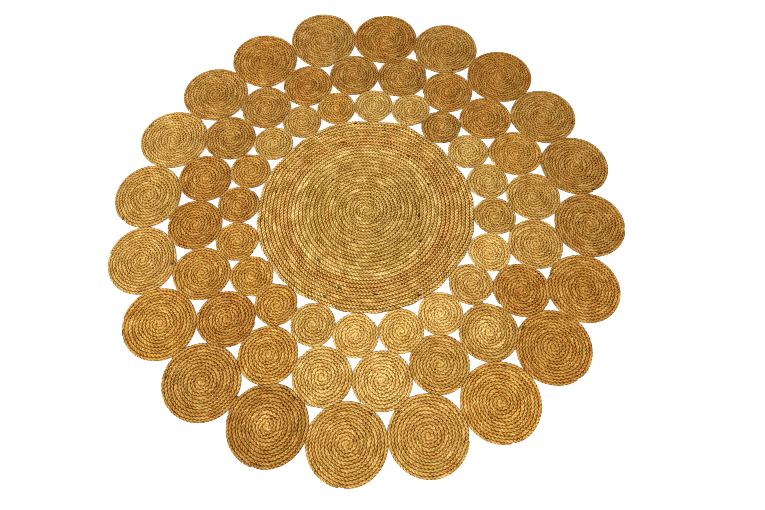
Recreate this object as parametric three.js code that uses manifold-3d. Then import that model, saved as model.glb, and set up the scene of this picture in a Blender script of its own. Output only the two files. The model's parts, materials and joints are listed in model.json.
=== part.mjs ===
// A round rug of coiled jute braid. One big coil lies in the middle, with three rings of
// twenty smaller coils around it. The rings are staggered by half a coil, and each coil is
// sewn to every coil it touches, so that three-cornered gaps are left between them.
// Millimetres, +Z up. The rug lies on its flat underside at z = 0.
import * as THREE from "three";
import { mergeVertices } from "three/addons/utils/BufferGeometryUtils.js";
import Module from "manifold-3d";

// The braid
const braidHeight = 8; // a three-strand braid, flattened a little by sewing
const rimDraw = 2.2; // how far its rounded side draws in at the top and the bottom

// How two coils meet
const sewnGap = 0.3; // between the faces of two coils that are sewn together
const pressDepth = 1.8; // how far past the meeting line a coil would bulge if it were alone
const drawnWidth = THREE.MathUtils.degToRad(40); // the part of a rim that a stitch draws out

// The centre coil
const centreRadius = 311;
const centreSides = 60;

// The rings. first is the angle of the ring's first coil, in degrees clockwise from +Y.
// crowd is how far its coils have slid round towards +X, in millimetres. swell is a coil's
// radius over half the spacing of its ring: the more over 1, the flatter its pressed sides.
const coilsPerRing = 20;
const rings = [
  { name: "inner", radius: 375.5, first: -14.6, crowd: 0, swell: 1.035, sides: 16 },
  { name: "middle", radius: 496, first: -4.8, crowd: 2, swell: 1.022, sides: 20 },
  { name: "outer", radius: 648, first: -13.2, crowd: 9, swell: 1.016, sides: 24 },
];

// Coils that were sewn on out of line, in millimetres: out from the ring, on round it
// clockwise, and how much further they reach outwards than sideways.
const strays = {
  inner_01: { out: 4, on: 0, reach: 0 },
  inner_03: { out: 10, on: 0, reach: 2 },
  inner_04: { out: -3, on: -5, reach: 0 },
  inner_05: { out: -6, on: 0, reach: 0 },
  inner_09: { out: -4, on: -4, reach: 0 },
  inner_12: { out: 0, on: 4, reach: 0 },
  inner_13: { out: -5, on: 6, reach: 0 },
  inner_14: { out: 0, on: 6, reach: 0 },
  inner_16: { out: 5, on: 0, reach: 0 },
  inner_19: { out: -5, on: 0, reach: 0 },
  middle_01: { out: 7, on: 0, reach: 0 },
  middle_02: { out: 9, on: 0, reach: 0 },
  middle_03: { out: 6, on: 0, reach: 0 },
  middle_08: { out: 1, on: -6, reach: 0 },
  middle_09: { out: -2, on: -5, reach: 0 },
  middle_10: { out: -5, on: 0, reach: 0 },
  middle_19: { out: -5, on: 0, reach: 0 },
  outer_01: { out: 21, on: -2, reach: 9 },
  outer_02: { out: 9, on: 0, reach: 0 },
  outer_03: { out: 15, on: 0, reach: 1 },
  outer_04: { out: 7, on: 3, reach: 0 },
  outer_05: { out: 0, on: 4, reach: 0 },
  outer_09: { out: -5, on: -7, reach: 0 },
  outer_14: { out: 0, on: 4, reach: -3 },
  outer_15: { out: 0, on: 3, reach: -4 },
  outer_16: { out: 0, on: -2, reach: -8 },
  outer_17: { out: 0, on: 0, reach: -8 },
  outer_20: { out: 12, on: -4, reach: 5 },
};
const inLine = { out: 0, on: 0, reach: 0 };

// These two coils are sewn so tightly that they are one solid.
const closePair = ["inner_14", "inner_15"];
const closePairLap = 0.4; // how far their solids run into each other before they are joined

const jute = { color: 0xc8933c, roughness: 0.95, metalness: 0 };

/** The point at a distance from the rug's middle, at an angle clockwise from +Y. */
function atAngle(distance, angle) {
  return new THREE.Vector2(distance * Math.sin(angle), distance * Math.cos(angle));
}

/** A ring's coils, each with its name, its middle and its direction out from the rug's middle. */
function layRing(ring) {
  const coils = [];
  for (let i = 0; i < coilsPerRing; i++) {
    const name = `${ring.name}_${String(i + 1).padStart(2, "0")}`;
    const stray = strays[name] ?? inLine;
    const even = THREE.MathUtils.degToRad(ring.first + (360 * i) / coilsPerRing);
    const slide = ring.crowd * Math.cos(even) + stray.on;
    const angle = even + slide / ring.radius;
    const middle = atAngle(ring.radius + stray.out, angle);
    coils.push({ name, middle, outward: middle.angle(), reach: stray.reach, sides: ring.sides });
  }
  coils.forEach((coil, i) => {
    const before = coils.at(i - 1).middle;
    const after = coils[(i + 1) % coilsPerRing].middle;
    const spacing = (coil.middle.distanceTo(before) + coil.middle.distanceTo(after)) / 2;
    coil.radius = (spacing / 2) * ring.swell;
  });
  return coils;
}

/** The radius that a coil would have in a direction if it lay alone. */
function freeRadius(coil, angle) {
  return coil.radius + coil.reach * Math.cos(angle - coil.outward) ** 2;
}

/** Each coil that touches this one: its direction, how far off the meeting line is, and by how
 *  much this coil is drawn out to reach it. */
function meetings(coil, coils) {
  const found = [];
  for (const other of coils) {
    const apart = other.middle.clone().sub(coil.middle);
    const distance = apart.length();
    const touchingRadii = (coil.radius + other.radius) * 1.1;
    if (other === coil || distance > touchingRadii) continue;
    const angle = apart.angle();
    const own = freeRadius(coil, angle);
    const line = (distance * own) / (own + freeRadius(other, angle + Math.PI));
    found.push({ other: other.name, angle, line, drawn: Math.max(0, line + pressDepth - own) });
  }
  return found;
}

/** The part of a convex outline that lies nearer than a line across a direction. */
function cutBack(outline, angle, line) {
  const across = new THREE.Vector2(Math.cos(angle), Math.sin(angle));
  const kept = [];
  outline.forEach((point, i) => {
    const next = outline[(i + 1) % outline.length];
    const past = point.dot(across) - line;
    const nextPast = next.dot(across) - line;
    if (past <= 0) kept.push(point);
    if (past * nextPast < 0) kept.push(point.clone().lerp(next, past / (past - nextPast)));
  });
  return kept;
}

/** A coil's outline around its own middle: a circle drawn out to its neighbours, with a short
 *  straight side where it presses on each of them. */
function coilOutline(coil, coils) {
  const met = meetings(coil, coils);
  let outline = [];
  for (let i = 0; i < coil.sides; i++) {
    const angle = coil.outward + (2 * Math.PI * i) / coil.sides;
    let radius = freeRadius(coil, angle);
    for (const meeting of met) {
      const off = Math.abs(THREE.MathUtils.euclideanModulo(
        angle - meeting.angle + Math.PI, 2 * Math.PI) - Math.PI);
      const share = off < drawnWidth ? Math.cos((Math.PI / 2) * (off / drawnWidth)) ** 2 : 0;
      radius += meeting.drawn * share;
    }
    outline.push(new THREE.Vector2(radius * Math.cos(angle), radius * Math.sin(angle)));
  }
  for (const meeting of met) {
    const joined = closePair.includes(coil.name) && closePair.includes(meeting.other);
    const line = meeting.line + (joined ? closePairLap : -sewnGap / 2);
    outline = cutBack(outline, meeting.angle, line);
  }
  return outline;
}

/** A flat closed solid on an outline, widest at half its height and drawn in above and below. */
function coilGeometry(outline) {
  const levels = [
    { z: 0, draw: rimDraw },
    { z: braidHeight / 2, draw: 0 },
    { z: braidHeight, draw: rimDraw },
  ];
  const count = outline.length;
  const top = count * (levels.length - 1);
  const places = levels.flatMap(({ z, draw }) => outline.flatMap((point) => {
    const drawnIn = point.clone().setLength(point.length() - draw);
    return [drawnIn.x, drawnIn.y, z];
  }));
  const faces = [];
  for (let i = 0; i < count; i++) {
    const next = (i + 1) % count;
    for (let low = 0; low < top; low += count) {
      const high = low + count;
      faces.push(low + i, low + next, high + next);
      faces.push(low + i, high + next, high + i);
    }
  }
  for (let i = 1; i < count - 1; i++) {
    faces.push(0, i + 1, i);
    faces.push(top, top + i, top + i + 1);
  }
  const geometry = new THREE.BufferGeometry();
  geometry.setAttribute("position", new THREE.Float32BufferAttribute(places, 3));
  geometry.setIndex(faces);
  return geometry;
}

/** Two closed geometries joined into one. */
async function joined(first, second) {
  const manifold = await Module();
  manifold.setup();
  const solids = [first, second].map((geometry) => {
    const merged = mergeVertices(geometry);
    return new manifold.Manifold(new manifold.Mesh({
      numProp: 3,
      vertProperties: merged.attributes.position.array,
      triVerts: new Uint32Array(merged.index.array),
    }));
  });
  const mesh = solids[0].add(solids[1]).getMesh();
  const geometry = new THREE.BufferGeometry();
  geometry.setAttribute("position", new THREE.BufferAttribute(mesh.vertProperties, 3));
  geometry.setIndex(new THREE.BufferAttribute(mesh.triVerts, 1));
  return geometry;
}

/** A named mesh of jute, in its place. */
function juteMesh(name, geometry, middle) {
  geometry.computeVertexNormals();
  const mesh = new THREE.Mesh(geometry, new THREE.MeshStandardMaterial(jute));
  mesh.name = name;
  mesh.position.set(middle.x, middle.y, 0);
  return mesh;
}

const centre = {
  name: "centre",
  middle: new THREE.Vector2(0, 0),
  outward: 0,
  reach: 0,
  radius: centreRadius,
  sides: centreSides,
};
const coils = [centre, ...rings.flatMap(layRing)];

const rug = new THREE.Group();
for (const coil of coils.filter(({ name }) => !closePair.includes(name))) {
  rug.add(juteMesh(coil.name, coilGeometry(coilOutline(coil, coils)), coil.middle));
}

const [first, second] = closePair.map((name) => coils.find((coil) => coil.name === name));
const shift = second.middle.clone().sub(first.middle);
const secondGeometry = coilGeometry(coilOutline(second, coils)).translate(shift.x, shift.y, 0);
const pairGeometry = await joined(coilGeometry(coilOutline(first, coils)), secondGeometry);
rug.add(juteMesh(`${first.name}_and_${second.name}`, pairGeometry, first.middle));

// The origin is under the middle of the whole rug's box.
const middleOfBox = new THREE.Box3().setFromObject(rug).getCenter(new THREE.Vector3());
rug.position.set(-middleOfBox.x, -middleOfBox.y, 0);

export default rug;
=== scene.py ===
import json
import math

import bpy
import numpy as np
from mathutils import Matrix, Vector


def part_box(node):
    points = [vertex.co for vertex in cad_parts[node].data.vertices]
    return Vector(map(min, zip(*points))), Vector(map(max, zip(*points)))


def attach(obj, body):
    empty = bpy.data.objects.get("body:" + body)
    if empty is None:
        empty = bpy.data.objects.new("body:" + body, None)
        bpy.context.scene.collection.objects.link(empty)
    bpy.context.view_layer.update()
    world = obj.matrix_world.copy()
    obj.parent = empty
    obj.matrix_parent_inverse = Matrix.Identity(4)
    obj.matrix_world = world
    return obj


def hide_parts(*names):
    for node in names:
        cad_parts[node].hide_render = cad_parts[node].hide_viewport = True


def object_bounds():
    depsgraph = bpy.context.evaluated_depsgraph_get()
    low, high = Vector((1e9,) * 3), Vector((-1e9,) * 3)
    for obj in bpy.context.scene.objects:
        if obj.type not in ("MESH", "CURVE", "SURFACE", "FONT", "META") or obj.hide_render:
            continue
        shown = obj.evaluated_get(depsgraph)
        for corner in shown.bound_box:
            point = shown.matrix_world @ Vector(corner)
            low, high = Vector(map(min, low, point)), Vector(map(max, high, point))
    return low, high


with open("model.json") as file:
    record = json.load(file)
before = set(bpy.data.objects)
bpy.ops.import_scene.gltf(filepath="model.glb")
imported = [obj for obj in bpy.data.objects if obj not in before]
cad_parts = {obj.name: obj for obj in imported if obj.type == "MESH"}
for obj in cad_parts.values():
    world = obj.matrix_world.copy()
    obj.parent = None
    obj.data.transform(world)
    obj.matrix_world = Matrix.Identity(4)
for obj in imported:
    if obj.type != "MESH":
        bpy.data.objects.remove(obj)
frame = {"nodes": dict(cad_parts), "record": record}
cad_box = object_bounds()

# ---------------------------------------------------------------------------------------------
# The camera, held 1.4 m above the near edge of the rug, looking steeply down at it through a
# wide lens.
# ---------------------------------------------------------------------------------------------
frame_width_px = 765
focal_length_px = 544.3
camera_target = Vector((0.0446, -0.1510, 0.0))  # the point of the floor that it looks at
camera_distance = 1.5386
camera_elevation = math.radians(66.9)
camera_roll = -0.0096  # in radians

backward = Vector((0.0, -math.cos(camera_elevation), math.sin(camera_elevation)))
level_right = Vector((1.0, 0.0, 0.0))
level_up = backward.cross(level_right)
right = level_right * math.cos(camera_roll) + level_up * math.sin(camera_roll)
up = backward.cross(right)

lens = bpy.data.cameras.new("camera")
lens.sensor_fit = "HORIZONTAL"
lens.sensor_width = 36.0  # a full-frame sensor, in millimetres
lens.lens = lens.sensor_width * focal_length_px / frame_width_px
camera = bpy.data.objects.new("camera", lens)
camera.matrix_world = (
    Matrix.Translation(camera_target + backward * camera_distance)
    @ Matrix((right, up, backward)).transposed().to_4x4()
)
bpy.context.scene.collection.objects.link(camera)
bpy.context.scene.camera = camera

# ---------------------------------------------------------------------------------------------
# The centre coil: about 29 turns of flat three-strand jute braid, wound from the middle
# outwards and sewn turn to turn through its edges. Its end is tapered and tucked against the
# turn before it.
# ---------------------------------------------------------------------------------------------
mm = 0.001
braid_thinness = 0.71  # its thickness over its width
lobe_length = 9.4 * mm  # along the braid, from one lobe of an edge to the next
strands = 3
strand_period = strands * lobe_length  # a strand is back at the same edge after this
points_round = 8  # counted from the top seam, down one side and up the other
points_along = 3  # in each lobe


def add_node(tree, kind, inputs=None, **settings):
    """Adds a node with its settings. Its inputs, by name or number, take a value or a link."""
    node = tree.nodes.new(kind)
    for name, value in settings.items():
        setattr(node, name, value)
    for name, value in (inputs or {}).items():
        if isinstance(value, bpy.types.NodeSocket):
            tree.links.new(value, node.inputs[name])
        else:
            node.inputs[name].default_value = value
    return node


def plait_repeat(name, seam_pit, edge_pit):
    """One lobe of each edge of the plait, as a mesh of points. X is across the braid in half
    widths and Z up in half thicknesses. Y is how far along the braid a point lies past the
    top of its ring, in metres, because the strands slant as they run round the braid. A point's
    pit shade is how deep between strands it lies, from 0 to 1, which the yarn's material turns
    into painted shade: seam_pit along the braid's middle and edge_pit where a lobe is sewn to
    the next turn. Lobes are counted along the braid, the even ones at one edge and the odd ones
    at the other. Each odd one starts a row late, so that its last row falls in the next repeat.
    """
    seam = {"height": 0.46, "swing": 0.2, "lead": 0.25}  # it swings from side to side
    crest = {"place": 0.5, "low": 0.2}
    edge = {"narrow": 1.03, "wide": 1.06}  # more than 1, as turns press into each other
    ridge = (0.0, 1.0, 0.9)  # how high a strand stands at each point along its lobe
    bottom = points_round // 2
    places, pits, lobes = [], [], []
    for row in range(points_along):
        for spot in range(points_round):
            down = min(spot, points_round - spot)
            on_seam = down in (0, bottom)
            lag = strand_period / 2 * down / bottom
            if 0 < spot < bottom:
                side = 1
                lobe = 0
                up = ridge[row]
            else:
                side = -1
                lobe = 1 if row > 0 else -1
                up = ridge[(row - 1) % points_along]
                if not on_seam:
                    lag += lobe_length / 6  # which with the row makes it half a lobe late
            if on_seam:
                swing = math.cos(2 * math.pi * (row + seam["lead"]) / points_along)
                across = seam["swing"] * swing
                rise, pit = seam["height"], seam_pit
            elif down == bottom / 2:
                across = side * (edge["narrow"] + (edge["wide"] - edge["narrow"]) * up)
                rise, pit = 0.0, 1 - (1 - edge_pit) * up
            else:
                across = side * crest["place"]
                rise, pit = crest["low"] + (1 - crest["low"]) * up, 1 - up
            places.append((across, lag, -rise if down > bottom / 2 else rise))
            pits.append(pit)
            lobes.append(lobe)
    mesh = bpy.data.meshes.new(name)
    mesh.from_pydata(places, [], [])
    mesh.attributes.new("pit", "FLOAT", "POINT").data.foreach_set("value", pits)
    mesh.attributes.new("lobe", "INT", "POINT").data.foreach_set("value", lobes)
    return bpy.data.objects.new(name, mesh)


def braid_tree():
    """Geometry Nodes that repeat the plait along a path, as one closed tube."""
    tree = bpy.data.node_groups.new("jute_braid", "GeometryNodeTree")
    sockets = [
        ("Path", "NodeSocketGeometry"),
        ("Plait Repeat", "NodeSocketObject"),
        ("Repeat Length", "NodeSocketFloat"),
        ("Half Thickness", "NodeSocketFloat"),
        ("Uneven", "NodeSocketFloat"),
        ("Mixed", "NodeSocketFloat"),
        ("Seed", "NodeSocketInt"),
        ("Jute", "NodeSocketMaterial"),
    ]
    for name, kind in sockets:
        tree.interface.new_socket(name, in_out="INPUT", socket_type=kind)
    tree.interface.new_socket("Braid", in_out="OUTPUT", socket_type="NodeSocketGeometry")
    given = add_node(tree, "NodeGroupInput").outputs

    # A tube with as many whole repeats as the path has room for
    path = add_node(tree, "GeometryNodeMeshToCurve", {"Mesh": given["Path"]}).outputs[0]
    length = add_node(tree, "GeometryNodeCurveLength", {"Curve": path}).outputs[0]
    room = add_node(tree, "ShaderNodeMath", {0: length, 1: given["Repeat Length"]},
                    operation="DIVIDE").outputs[0]
    repeats = add_node(tree, "ShaderNodeMath", {0: room}, operation="FLOOR").outputs[0]
    rings = add_node(tree, "ShaderNodeMath", {0: repeats, 1: points_along, 2: -1.0},
                     operation="MULTIPLY_ADD").outputs[0]
    tube = add_node(tree, "GeometryNodeMeshCylinder",
                    {"Vertices": points_round, "Side Segments": rings},
                    fill_type="NGON").outputs["Mesh"]

    # Which point of which repeat each point is
    index = add_node(tree, "GeometryNodeInputIndex").outputs[0]
    points = points_round * points_along
    spot = add_node(tree, "ShaderNodeMath", {0: index, 1: points}, operation="MODULO").outputs[0]
    passed = add_node(tree, "ShaderNodeMath", {0: index, 1: points},
                      operation="DIVIDE").outputs[0]
    repeat = add_node(tree, "ShaderNodeMath", {0: passed}, operation="FLOOR").outputs[0]
    turned = add_node(tree, "ShaderNodeMath", {0: index, 1: points_round},
                      operation="DIVIDE").outputs[0]
    ring = add_node(tree, "ShaderNodeMath", {0: turned}, operation="FLOOR").outputs[0]
    pattern = add_node(tree, "GeometryNodeObjectInfo",
                       {"Object": given["Plait Repeat"]}).outputs["Geometry"]
    sampled = {}
    for name, kind, field in (
        ("place", "FLOAT_VECTOR", add_node(tree, "GeometryNodeInputPosition").outputs[0]),
        ("pit", "FLOAT", add_node(tree, "GeometryNodeInputNamedAttribute", {"Name": "pit"},
                                  data_type="FLOAT").outputs[0]),
        ("lobe", "INT", add_node(tree, "GeometryNodeInputNamedAttribute", {"Name": "lobe"},
                                 data_type="INT").outputs[0]),
    ):
        sampled[name] = add_node(tree, "GeometryNodeSampleIndex",
                                 {"Geometry": pattern, "Value": field, "Index": spot},
                                 data_type=kind).outputs[0]
    place = add_node(tree, "ShaderNodeSeparateXYZ", {0: sampled["place"]}).outputs

    # Which lobe it belongs to, how thick that lobe is and how far it has slipped along
    edges = 2
    slip_seed = 3
    either_way = {"Min": -0.5, "Max": 0.5}
    lobe = add_node(tree, "ShaderNodeMath", {0: repeat, 1: edges, 2: sampled["lobe"]},
                    operation="MULTIPLY_ADD").outputs[0]
    size = add_node(tree, "FunctionNodeRandomValue",
                    {**either_way, "ID": lobe, "Seed": given["Seed"]},
                    data_type="FLOAT").outputs[1]
    uneven = add_node(tree, "ShaderNodeMath", {0: size, 1: given["Uneven"], 2: 1.0},
                      operation="MULTIPLY_ADD").outputs[0]
    slip = add_node(tree, "FunctionNodeRandomValue",
                    {**either_way, "ID": lobe, "Seed": slip_seed}, data_type="FLOAT").outputs[1]
    slipped = add_node(tree, "ShaderNodeMath", {0: slip, 1: given["Uneven"]},
                       operation="MULTIPLY").outputs[0]

    # How far along the path it lies. The slant dies out at both ends, which are cut square.
    tension_changes = 9.0  # to the metre, between plaiting loosely and tightly
    spacing = add_node(tree, "ShaderNodeMath", {0: given["Repeat Length"], 1: points_along},
                       operation="DIVIDE").outputs[0]
    top = add_node(tree, "ShaderNodeMath", {0: ring, 1: spacing},
                   operation="MULTIPLY").outputs[0]
    left = add_node(tree, "ShaderNodeMath", {0: length, 1: top},
                    operation="SUBTRACT").outputs[0]
    nearer = add_node(tree, "ShaderNodeMath", {0: top, 1: left}, operation="MINIMUM").outputs[0]
    slant = add_node(tree, "ShaderNodeMapRange",
                     {"Value": nearer, "From Min": 0.0, "From Max": strand_period}).outputs[0]
    tightness = add_node(tree, "ShaderNodeTexNoise",
                         {"W": top, "Scale": tension_changes, "Detail": 1.0},
                         noise_dimensions="1D").outputs[0]
    looseness = add_node(tree, "ShaderNodeMath", {0: tightness, 1: slipped},
                         operation="ADD").outputs[0]
    drift = add_node(tree, "ShaderNodeMath", {0: looseness, 1: lobe_length, 2: place["Y"]},
                     operation="MULTIPLY_ADD").outputs[0]
    along = add_node(tree, "ShaderNodeMath", {0: drift, 1: slant, 2: top},
                     operation="MULTIPLY_ADD").outputs[0]

    # Where the point lies: on the path, out to its side and up. Where the braid tapers to
    # less than a certain half width, it is thinner too.
    tapered_width = 3.5 * mm
    thinnest = 0.4
    half_width = add_node(tree, "GeometryNodeInputNamedAttribute", {"Name": "half_width"},
                          data_type="FLOAT").outputs[0]
    on_path = add_node(tree, "GeometryNodeSampleCurve",
                       {"Curves": path, "Value": half_width, "Length": along},
                       mode="LENGTH", use_all_curves=True, data_type="FLOAT").outputs
    yarn_change = add_node(tree, "GeometryNodeInputNamedAttribute", {"Name": "yarn_change"},
                           data_type="FLOAT_VECTOR").outputs[0]
    yarn = add_node(tree, "GeometryNodeSampleCurve",
                    {"Curves": path, "Value": yarn_change, "Length": along},
                    mode="LENGTH", use_all_curves=True, data_type="FLOAT_VECTOR").outputs[0]
    inward = add_node(tree, "ShaderNodeVectorMath",
                      {0: (0.0, 0.0, 1.0), 1: on_path["Tangent"]},
                      operation="CROSS_PRODUCT").outputs[0]
    level = add_node(tree, "ShaderNodeVectorMath", {0: inward}, operation="NORMALIZE").outputs[0]
    across = add_node(tree, "ShaderNodeMath", {0: place["X"], 1: on_path["Value"]},
                      operation="MULTIPLY").outputs[0]
    sideways = add_node(tree, "ShaderNodeVectorMath", {0: level, "Scale": across},
                        operation="SCALE").outputs[0]
    full = add_node(tree, "ShaderNodeMapRange",
                    {"Value": on_path["Value"], "From Min": 0.0, "From Max": tapered_width,
                     "To Min": thinnest, "To Max": 1.0}).outputs[0]
    thickness = add_node(tree, "ShaderNodeMath", {0: full, 1: given["Half Thickness"]},
                         operation="MULTIPLY").outputs[0]
    height = add_node(tree, "ShaderNodeMath", {0: place["Z"], 1: thickness},
                      operation="MULTIPLY").outputs[0]
    rise = add_node(tree, "ShaderNodeMath", {0: height, 1: uneven},
                    operation="MULTIPLY").outputs[0]
    upward = add_node(tree, "ShaderNodeCombineXYZ", {"Z": rise}).outputs[0]
    off_path = add_node(tree, "ShaderNodeVectorMath", {0: sideways, 1: upward},
                        operation="ADD").outputs[0]
    point = add_node(tree, "ShaderNodeVectorMath", {0: on_path["Position"], 1: off_path},
                     operation="ADD").outputs[0]
    braid = add_node(tree, "GeometryNodeSetPosition",
                     {"Geometry": tube, "Position": point}).outputs[0]

    # What the yarn's material reads: the hue of a point's yarn, whether its lobe has a bit of
    # bark left on it, its shade, how deep it lies between strands for painted shade, and its
    # place along and across its strand. The hue, the shade and the stitching each change so many
    # times to the metre; the stitching only deepens or lightens the painted shade between
    # strands.
    hue = {"changes": 14.0, "either_way": 0.08, "seed": 1}
    bark = {"share": 0.003, "seed": 2}
    shade = {"changes": 45.0, "either_way": 0.2, "pattern": 5.0}
    # the stitching scales the painted shade in the grooves: loose is darker, tight lighter
    seam = {"changes": 22.0, "loose": 1.2, "tight": 0.5}
    usual_noise = {"From Min": 0.3, "From Max": 0.7}  # nearly all of it lies in between
    strand = add_node(tree, "ShaderNodeMath", {0: lobe, 1: strands},
                      operation="MODULO").outputs[0]
    dye_place = add_node(tree, "ShaderNodeCombineXYZ",
                         {"X": along, "Y": strand, "Z": given["Seed"]}).outputs[0]
    patchy = add_node(tree, "ShaderNodeTexNoise",
                      {"Vector": dye_place, "Scale": hue["changes"],
                       "Detail": 2.0}).outputs[0]
    change = add_node(tree, "ShaderNodeSeparateXYZ", {0: yarn}).outputs
    lobe_hue = add_node(tree, "FunctionNodeRandomValue",
                        {"Min": -hue["either_way"], "Max": hue["either_way"],
                         "ID": lobe, "Seed": hue["seed"]}, data_type="FLOAT").outputs[1]
    redder = add_node(tree, "ShaderNodeMath",
                      {0: lobe_hue, 1: given["Mixed"], 2: change["X"]},
                      operation="MULTIPLY_ADD").outputs[0]
    dye = add_node(tree, "ShaderNodeMath", {0: patchy, 1: redder}, operation="ADD").outputs[0]
    barked = add_node(tree, "FunctionNodeRandomValue",
                      {"ID": lobe, "Seed": bark["seed"], "Probability": bark["share"]},
                      data_type="BOOLEAN").outputs[3]
    run = add_node(tree, "ShaderNodeTexNoise",
                   {"Vector": dye_place, "W": shade["pattern"], "Scale": shade["changes"],
                    "Detail": 1.0}, noise_dimensions="4D").outputs[0]
    run_change = add_node(tree, "ShaderNodeMapRange",
                          {**usual_noise, "Value": run, "To Min": -shade["either_way"],
                           "To Max": shade["either_way"]}).outputs[0]
    mottle = add_node(tree, "ShaderNodeMath", {0: size, 1: run_change},
                      operation="ADD").outputs[0]
    lighter = add_node(tree, "ShaderNodeMath", {0: change["Y"], 1: 0.5},
                       operation="ADD").outputs[0]
    lightness = add_node(tree, "ShaderNodeMath", {0: mottle, 1: given["Mixed"], 2: lighter},
                         operation="MULTIPLY_ADD").outputs[0]
    # Painted shade between strands, deeper or lighter along the braid with the stitching noise
    # and the yarn change's third part; the grooves' shape stays the same.
    sewn = add_node(tree, "ShaderNodeTexNoise",
                    {"W": top, "Scale": seam["changes"], "Detail": 1.0},
                    noise_dimensions="1D").outputs[0]
    stitch_shade_depth = add_node(tree, "ShaderNodeMapRange",
                         {**usual_noise, "Value": sewn, "To Min": seam["loose"],
                          "To Max": seam["tight"]}).outputs[0]
    pit_shade_depth = add_node(tree, "ShaderNodeMath", {0: stitch_shade_depth, 1: change["Z"]},
                         operation="ADD").outputs[0]
    pit = add_node(tree, "ShaderNodeMath", {0: sampled["pit"], 1: pit_shade_depth},
                   operation="MULTIPLY").outputs[0]
    way = add_node(tree, "ShaderNodeCombineXYZ", {"X": place["Y"], "Y": top}).outputs[0]
    for name, kind, value in (
        ("pit", "FLOAT", pit),
        ("shade", "FLOAT", lightness),
        ("dye", "FLOAT", dye),
        ("bark", "FLOAT", barked),
        ("strand_way", "FLOAT_VECTOR", way),
    ):
        braid = add_node(tree, "GeometryNodeStoreNamedAttribute",
                         {"Geometry": braid, "Name": name, "Value": value},
                         data_type=kind, domain="POINT").outputs[0]
    realized = add_node(tree, "GeometryNodeRealizeInstances", {"Geometry": braid}).outputs[0]
    dressed = add_node(tree, "GeometryNodeSetMaterial",
                       {"Geometry": realized, "Material": given["Jute"]}).outputs[0]
    add_node(tree, "NodeGroupOutput", {"Braid": dressed})
    return tree


def linear(code):
    """A colour for a shader from its sRGB hex code."""
    parts = [int(code[i:i + 2], 16) / 255 for i in (1, 3, 5)]
    return [c / 12.92 if c <= 0.04045 else ((c + 0.055) / 1.055) ** 2.4 for c in parts] + [1.0]


# Jute yarn, spun from retted bast fibre and left undyed, so its gold varies from lot to lot:
# each lot has a greenish, a usual and a reddish shade. It is matt, with the faint silky gloss
# of long straight fibres. Where it lies deep between the strands, painted shade turns it brown.
yarn_lots = {
    "jute_gold": ("#AC9561", "#AF945D", "#AE8854"),
    "jute_straw": ("#B8A578", "#BCA46E", "#B99665"),
    "jute_olive": ("#B09E6B", "#B49B66", "#B2905D"),
    "jute_amber": ("#A98E55", "#AD8D50", "#AB8248"),
    "jute_russet": ("#A4864F", "#A88549", "#A57941"),
    "jute_brown": ("#A38955", "#A7884F", "#A57C48"),
}


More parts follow.
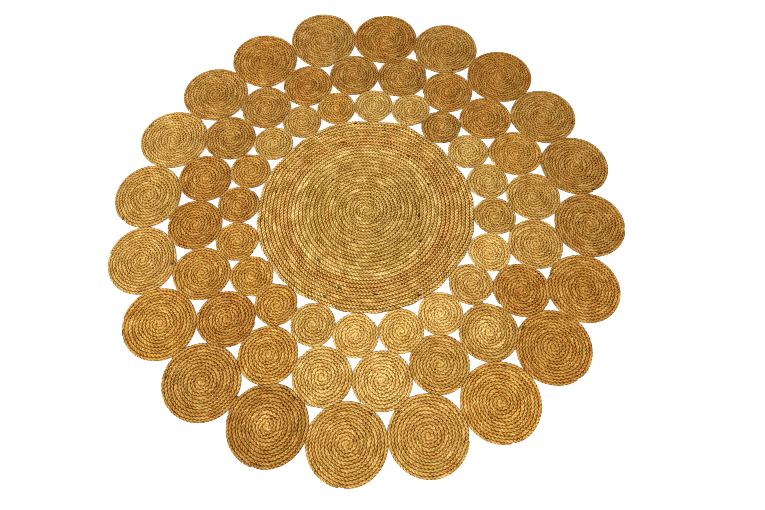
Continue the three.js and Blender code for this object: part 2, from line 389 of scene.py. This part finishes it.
def spun_jute(name, green, usual, red):
    """The material of one lot of jute yarn."""
    material = bpy.data.materials.new("spun_" + name)
    material.use_nodes = True
    tree = material.node_tree
    tree.nodes.clear()
    read = {}
    for attribute in ("pit", "shade", "dye", "bark"):
        read[attribute] = add_node(tree, "ShaderNodeAttribute",
                                   attribute_name=attribute).outputs["Fac"]
    strand_way = add_node(tree, "ShaderNodeAttribute", attribute_name="strand_way")

    dyed = add_node(tree, "ShaderNodeValToRGB", {"Fac": read["dye"]})
    shades = ((0.32, green), (0.5, usual), (0.7, red))
    stops = dyed.color_ramp.elements
    stops.new(0.5)
    for stop, (place, code) in zip(stops, shades):
        stop.position = place
        stop.color = linear(code)

    fibre_width = 0.9 * mm  # real fibres are a tenth of this, too fine to show
    fibre_length = 9 * mm
    fibre_height = 0.5 * mm
    drawn = add_node(tree, "ShaderNodeMapping",
                     {"Vector": strand_way.outputs["Vector"],
                      "Scale": (1 / fibre_length, 1 / fibre_width, 1.0)})
    fibres = add_node(tree, "ShaderNodeTexNoise",
                      {"Vector": drawn.outputs[0], "Scale": 1.0, "Detail": 3.0}).outputs["Fac"]

    # The colour is raised to a power, darker and redder the higher the power. Powers add up: a
    # lobe's own and a fibre's give the yarn's random tone, and painted shade adds more the
    # deeper a point lies between strands. Deep points also get a painted yellow tint, as of
    # light bounced from strand to strand, which takes out more blue.
    power = {
        "dark_fibre": 0.28, "light_fibre": -0.32,
        "dark_lobe": 1.62, "light_lobe": 0.44,
        "pit": 1.7,
    }
    bark_brightness = 0.12  # over that of clean yarn
    streaks = add_node(tree, "ShaderNodeMapRange",
                       {"Value": fibres, "From Min": 0.25, "From Max": 0.75,
                        "To Min": power["dark_fibre"],
                        "To Max": power["light_fibre"]}).outputs[0]
    lobes = add_node(tree, "ShaderNodeMapRange",
                     {"Value": read["shade"], "From Min": -0.5, "From Max": 1.5,
                      "To Min": power["dark_lobe"], "To Max": power["light_lobe"]}).outputs[0]
    inside = add_node(tree, "ShaderNodeMath", {0: streaks, 1: lobes}, operation="ADD").outputs[0]
    # Painted shade: the deeper a point lies between strands, the darker and redder its colour
    tone_and_shade_power = add_node(tree, "ShaderNodeMath", {0: read["pit"], 1: power["pit"], 2: inside},
                      operation="MULTIPLY_ADD").outputs[0]
    tone_with_pit_shade = add_node(tree, "ShaderNodeGamma",
                      {"Color": dyed.outputs["Color"], "Gamma": tone_and_shade_power}).outputs[0]
    # Painted bounce light: a yellow tint, stronger the deeper a point lies between strands
    painted_bounce_tint = add_node(tree, "ShaderNodeMix",
                       {0: read["pit"], 6: linear("#FFFFFF"), 7: linear("#F8DF60")},
                       data_type="RGBA").outputs[2]
    tone_with_painted_shade = add_node(tree, "ShaderNodeVectorMath", {0: tone_with_pit_shade, 1: painted_bounce_tint},
                       operation="MULTIPLY").outputs[0]
    clean_share = add_node(tree, "ShaderNodeMapRange",
                           {"Value": read["bark"], "To Min": 1.0,
                            "To Max": bark_brightness}).outputs[0]
    colour = add_node(tree, "ShaderNodeVectorMath", {0: tone_with_painted_shade, "Scale": clean_share},
                      operation="SCALE").outputs[0]
    bump = add_node(tree, "ShaderNodeBump",
                    {"Height": fibres, "Strength": 0.6, "Distance": fibre_height})
    surface = add_node(tree, "ShaderNodeBsdfPrincipled",
                       {"Base Color": colour, "Roughness": 0.8,
                        "IOR": 1.45, "Specular IOR Level": 0.06, "Normal": bump.outputs[0]})
    add_node(tree, "ShaderNodeOutputMaterial", {"Surface": surface.outputs[0]})
    return material


def rim_of(node, middle, beyond=None):
    """How far a coil's solid reaches from its middle in each of 360 directions, at half its
    height, where it is widest. beyond is the line to stop at, as a direction and a distance,
    where the solid goes on into another coil.
    """
    mesh = frame["nodes"][node].data
    points = np.empty(len(mesh.vertices) * 3)
    mesh.vertices.foreach_get("co", points)
    points = points.reshape(-1, 3)
    edges = np.array([edge.vertices[:] for edge in mesh.edges])
    half_height = cad_box[1][2] / 2
    nearly = 0.1 * mm
    widest = np.abs(points[:, 2] - half_height) < nearly
    outline = edges[widest[edges].all(axis=1)]
    starts, ends = (points[outline[:, i], :2] - middle for i in (0, 1))
    never_zero = 1e-12  # for an edge that lies along the direction
    least_slope = 0.01  # of a direction that comes to the line within the solid
    reach = np.empty(360)
    for degree in range(360):
        way = np.array([math.cos(math.radians(degree)), math.sin(math.radians(degree))])
        side = np.array([-way[1], way[0]])
        past, next_past = starts @ side, ends @ side
        crossing = past * next_past <= 0
        share = past[crossing] / (past[crossing] - next_past[crossing] + never_zero)
        distances = starts[crossing] @ way * (1 - share) + ends[crossing] @ way * share
        reach[degree] = distances.max()
        if beyond is not None and way @ beyond[0] > least_slope:
            reach[degree] = min(reach[degree], beyond[1] / (way @ beyond[0]))
    return reach


def wind(rim, pitch, loosening, end, rng, settled):
    """The path of a coil's braid, anticlockwise from the middle outwards, around the coil's own
    middle, with half its width at each point. Turns are counted back from the end. They are
    narrower than the pitch in the middle and wider at the rim, by up to the loosening. The more
    settled a coil is, the fewer of its outer turns take the rim's shape. They step outwards
    together near the end, where the last one tapers.
    """
    radius = rim.mean()
    turns = radius / pitch
    tapered_length = 70 * mm
    longest_taper = 0.3  # in turns
    taper = min(longest_taper, tapered_length / (2 * math.pi * radius))
    most_stepping = 8.0
    stepping = min(most_stepping, turns - 2)  # the turns over which the step grows
    held_at_rim = 6  # the higher, the nearer to the rim the turns still wander
    wave_count = 6
    wave_ranges = {
        "rate": (1.3, 6.0),  # waves to the turn
        "phase": (0, 6.28),
        "size": (0.03, 0.08),  # in braid widths
    }
    waves = [[rng.uniform(*limits) for limits in wave_ranges.values()]
             for _ in range(wave_count)]

    def edge(back):
        """The outer edge of the turn that is so many turns from the end, in braid widths."""
        share = 1 - np.mod(back, 1.0)  # of that turn, up to here
        stepped = np.clip((share - 1 + taper) / taper, 0, 1)
        stepped = stepped * stepped * (3 - 2 * stepped)
        weight = np.clip(1 - back / stepping, 0, 1)
        plain = turns + 1 - back + weight * (stepped - share)
        wander = sum(size * np.sin(rate * 2 * math.pi * back + phase)
                     for rate, phase, size in waves)
        loose = np.clip(1 - (plain / turns) ** held_at_rim, 0, 1) * np.clip(plain - 1, 0, 1)
        return np.minimum(plain + wander * loose, turns)

    # Points at even steps along a plain spiral, each as its turns back from the end
    step = 2 * mm
    start = 0.2  # in turns from the very middle
    wound = turns + 0.5  # the turns that the braid's middle line makes
    run = np.arange(math.pi * pitch * start**2, math.pi * pitch * wound**2, step)
    back = wound - np.sqrt(run / (math.pi * pitch))
    angle = end - 2 * math.pi * back

    # Where the braid's edges are at each point, in metres from the middle
    bulge = np.interp(np.degrees(angle) % 360, np.arange(361), np.append(rim, rim[0])) / radius
    outer, inner = (widths * pitch * (1 + loosening * (widths / turns - 1))
                    for widths in (edge(back), edge(back + 1)))
    outer, inner = (r * (1 + (bulge - 1) * (r / radius) ** settled) for r in (outer, inner))

    press = 0.7 * mm  # how far the tight turns of the eye press into each other
    eye = 2.5  # in braid widths
    half_width = (outer - inner) / 2 + press * np.clip(eye - outer / pitch, 0, 1)
    narrowest = 1.3 * mm  # half the width at which the tapered end is cut
    keep = (half_width > narrowest) | (back > 1)
    middle = (outer + inner) / 2
    path = np.stack([middle * np.cos(angle), middle * np.sin(angle)], axis=1)
    lead = 0.5 * pitch  # the braid's first bit, which lies straight across the eye
    forward = np.array([-math.sin(angle[0]), math.cos(angle[0])])
    path = np.vstack([path[0] - lead * forward, path[keep]])
    return path, np.append(half_width[0], half_width[keep])


def coil_of_braid(name, node, middle, rim, braid, lot, seed, changes, settled=3):
    """A coil of braid in place of a CAD node, wound to fill its outline. changes are the
    places where another yarn was taken, each as its distance from the middle, how much
    redder and lighter the braid is there, and how much deeper its painted groove shade is.
    """
    # The outline's corners are rounded off, as the braid can't follow them
    eased_length = 6 * mm
    easing = math.degrees(eased_length / rim.mean())
    each_way = 30  # degrees
    window = np.exp(-0.5 * (np.arange(-each_way, each_way + 1) / easing) ** 2)
    eased = np.convolve(np.tile(rim, 3), window / window.sum(), mode="same")[360:720]

    rng = np.random.default_rng(seed)
    pitch = rng.uniform(*braid["widths"])
    end = rng.uniform(0, 2 * math.pi)  # the direction in which the coil ends
    path, half_width = wind(eased, pitch, braid["loosening"], end, rng, settled)
    half_thickness = braid_thinness * pitch / 2
    rise = half_thickness * (1 + braid["uneven"] / 2)  # its thickest lobes rest on the floor
    places = np.column_stack([path + middle, np.full(len(path), rise)])
    line = bpy.data.meshes.new(name + "_path")
    line.from_pydata(places.tolist(), [(i, i + 1) for i in range(len(path) - 1)], [])
    line.attributes.new("half_width", "FLOAT", "POINT").data.foreach_set("value", half_width)
    distance = np.linalg.norm(path, axis=1)
    distances, *kinds = np.array(changes).T
    yarn = np.column_stack([np.interp(distance, distances, kind) for kind in kinds])
    line.attributes.new("yarn_change", "FLOAT_VECTOR", "POINT").data.foreach_set(
        "vector", yarn.ravel())

    guide = bpy.data.objects.new(name + "_path", line)
    bpy.context.scene.collection.objects.link(guide)
    repeater = guide.modifiers.new("braid", "NODES")
    repeater.node_group = jute_braid
    sockets = {item.name: item.identifier for item in jute_braid.interface.items_tree
               if item.in_out == "INPUT"}
    repeater[sockets["Plait Repeat"]] = braid["plait"]
    repeater[sockets["Repeat Length"]] = lobe_length
    repeater[sockets["Half Thickness"]] = half_thickness
    repeater[sockets["Uneven"]] = braid["uneven"]
    repeater[sockets["Mixed"]] = braid["mixed"]
    repeater[sockets["Seed"]] = seed
    repeater[sockets["Jute"]] = jutes[lot]
    evaluated = guide.evaluated_get(bpy.context.evaluated_depsgraph_get())
    mesh = bpy.data.meshes.new_from_object(evaluated)
    bpy.data.objects.remove(guide)
    bpy.data.meshes.remove(line)
    mesh.name = name
    mesh.shade_smooth()
    piece = bpy.data.objects.new(name, mesh)
    bpy.context.scene.collection.objects.link(piece)

    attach(piece, "root")
    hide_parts(node)


def outline_of(node):
    """The middle of a coil's solid and its rim around it."""
    low, high = (np.array(corner)[:2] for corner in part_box(node))
    middle = (low + high) / 2
    return middle, rim_of(node, middle)


broad_braid = {
    # seam_pit and edge_pit: how much painted shade the braid's middle and its sewn edges get
    "plait": plait_repeat("broad_plait", seam_pit=0.5, edge_pit=0.85),
    "widths": (10.8 * mm, 10.8 * mm),
    "loosening": 0.08,
    "uneven": 0.2,
    "mixed": 0.9,
}
jute_braid = braid_tree()
jutes = {name: spun_jute(name, *colours) for name, colours in yarn_lots.items()}
lot_of = {part["node"]: part["material_slot"] for part in frame["record"]["subparts"]}

yarn_and_shade_changes = np.array([
    # millimetres from the middle, redder, lighter, deeper painted groove shade
    (0, -0.07, -0.1, -0.1),
    (30, -0.07, 0.2, 0.0),
    (60, -0.07, 0.27, 0.15),
    (85, -0.07, 0.27, 0.15),
    (95, -0.07, 0.2, 0.0),
    (130, -0.07, 0.18, 0.1),
    (150, -0.07, 0.1, 0.1),
    (180, -0.07, 0.13, -0.05),
    (190, -0.07, 0.36, 0.0),
    (216, -0.07, 0.58, 0.1),
    (226, 0.08, 0.52, 0.45),
    (246, 0.08, 0.5, 0.35),
    (256, 0.01, 0.36, 0.15),
    (288, 0.01, 0.36, 0.15),
    (294, -0.05, 0.6, 0.35),
    (320, -0.05, 0.58, 0.35),
]) * (mm, 1, 1, 1)
coil_of_braid("centre_braid", "centre", *outline_of("centre"), broad_braid, lot_of["centre"],
              seed=1, changes=yarn_and_shade_changes, settled=8)

# ---------------------------------------------------------------------------------------------
# The three rings of small coils, of about 7, 9 and 11 or 12 turns of a narrower braid. Each is
# wound from one lot of yarn, whose tone may change on the way, and sewn to its neighbours
# where it touches them.
# ---------------------------------------------------------------------------------------------
narrow_braid = {
    # seam_pit and edge_pit: how much painted shade the braid's middle and its sewn edges get
    "plait": plait_repeat("narrow_plait", seam_pit=0.3, edge_pit=0.62),
    "widths": (8.4 * mm, 9.4 * mm),
    "loosening": 0.0,
    "uneven": 0.34,
    "mixed": 0.75,
}
pair = "inner_14_and_inner_15"
tones = np.random.default_rng(7)
plain_changes = {  # coils whose yarn plainly changes on its way out: how light inside, outside
    "outer_13": (0.15, -0.3),
    "middle_09": (0.3, -0.2),
    "middle_11": (0.2, 0.0),
    "inner_10": (0.05, -0.25),
    "inner_04": (-0.05, -0.35),
}


def tones_of_small_coil(name):
    """Yarn changes for a small coil. Its inner turns are a little lighter or darker than its
    rim, and its first ones are darker still, with less painted groove shade between them.
    """
    inside, outside = plain_changes.get(name, tones.uniform(-0.22, 0.04, 2))
    return (
        # distance from the middle, redder, lighter, deeper painted groove shade
        (0, 0, inside - 0.25, -0.1),
        (20 * mm, 0, inside, 0),
        (30 * mm, 0, inside, 0),
        (60 * mm, 0, outside, 0),
    )


for seed, node in enumerate(sorted(frame["nodes"]), start=10):
    if node not in ("centre", pair):
        coil_of_braid(node + "_braid", node, *outline_of(node), narrow_braid, lot_of[node],
                      seed=seed, changes=tones_of_small_coil(node))

# ---------------------------------------------------------------------------------------------
# Two coils of the inner ring that are sewn so tightly that they are one solid in the frame.
# They are still two coils of braid, one on each side of the line through their waist.
# ---------------------------------------------------------------------------------------------
low, high = (np.array(corner)[:2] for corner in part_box(pair))
waist = (low + high) / 2
outwards = waist / np.linalg.norm(waist)
clockwise = np.array([outwards[1], -outwards[0]])
direction = math.degrees(math.atan2(clockwise[1], clockwise[0]))
half_length = rim_of(pair, waist)[round(direction) % 360]
for name, way, seed in (("inner_14_braid", -1, 79), ("inner_15_braid", 1, 81)):
    middle = waist + clockwise * way * half_length / 2
    rim = rim_of(pair, middle, beyond=(-clockwise * way, half_length / 2))
    coil_of_braid(name, pair, middle, rim, narrow_braid, lot_of[pair],
                  seed=seed, changes=tones_of_small_coil(name))

# ---------------------------------------------------------------------------------------------
# A pale floor under soft studio light: a softbox low at the left, a weaker one in front, and
# plain white surroundings.
# ---------------------------------------------------------------------------------------------
bpy.ops.mesh.primitive_plane_add(size=80, location=(0, 0, 0))
floor = bpy.context.object
floor.name = "floor"
paint = bpy.data.materials.new("white_floor")
paint.use_nodes = True
white = paint.node_tree.nodes["Principled BSDF"]
white.inputs["Base Color"].default_value = (0.9, 0.9, 0.9, 1)
white.inputs["Roughness"].default_value = 0.9
floor.data.materials.append(paint)

world = bpy.data.worlds.new("studio")
bpy.context.scene.world = world
world.use_nodes = True
world.node_tree.nodes["Background"].inputs["Color"].default_value = (1.0, 1.0, 1.0, 1)
world.node_tree.nodes["Background"].inputs["Strength"].default_value = 0.9

for name, watts, side, place in (  # metres
    ("side_softbox", 365, 1.5, (-3.8, -0.56, 2.35)),
    ("front_softbox", 55, 1.0, (0.8, -1.6, 1.8)),
):
    softbox = bpy.data.lights.new(name, "AREA")
    softbox.shape = "SQUARE"
    softbox.size = side
    softbox.energy = watts
    lamp = bpy.data.objects.new(name, softbox)
    lamp.location = place
    lamp.rotation_euler = (-lamp.location).to_track_quat("-Z", "Y").to_euler()
    bpy.context.scene.collection.objects.link(lamp)

bpy.context.scene.view_settings.view_transform = "Standard"
bpy.context.scene.cycles.filter_width = 1.1
bpy.context.scene.cycles.use_denoising = False

for braid in (broad_braid, narrow_braid):
    bpy.data.objects.remove(braid["plait"])
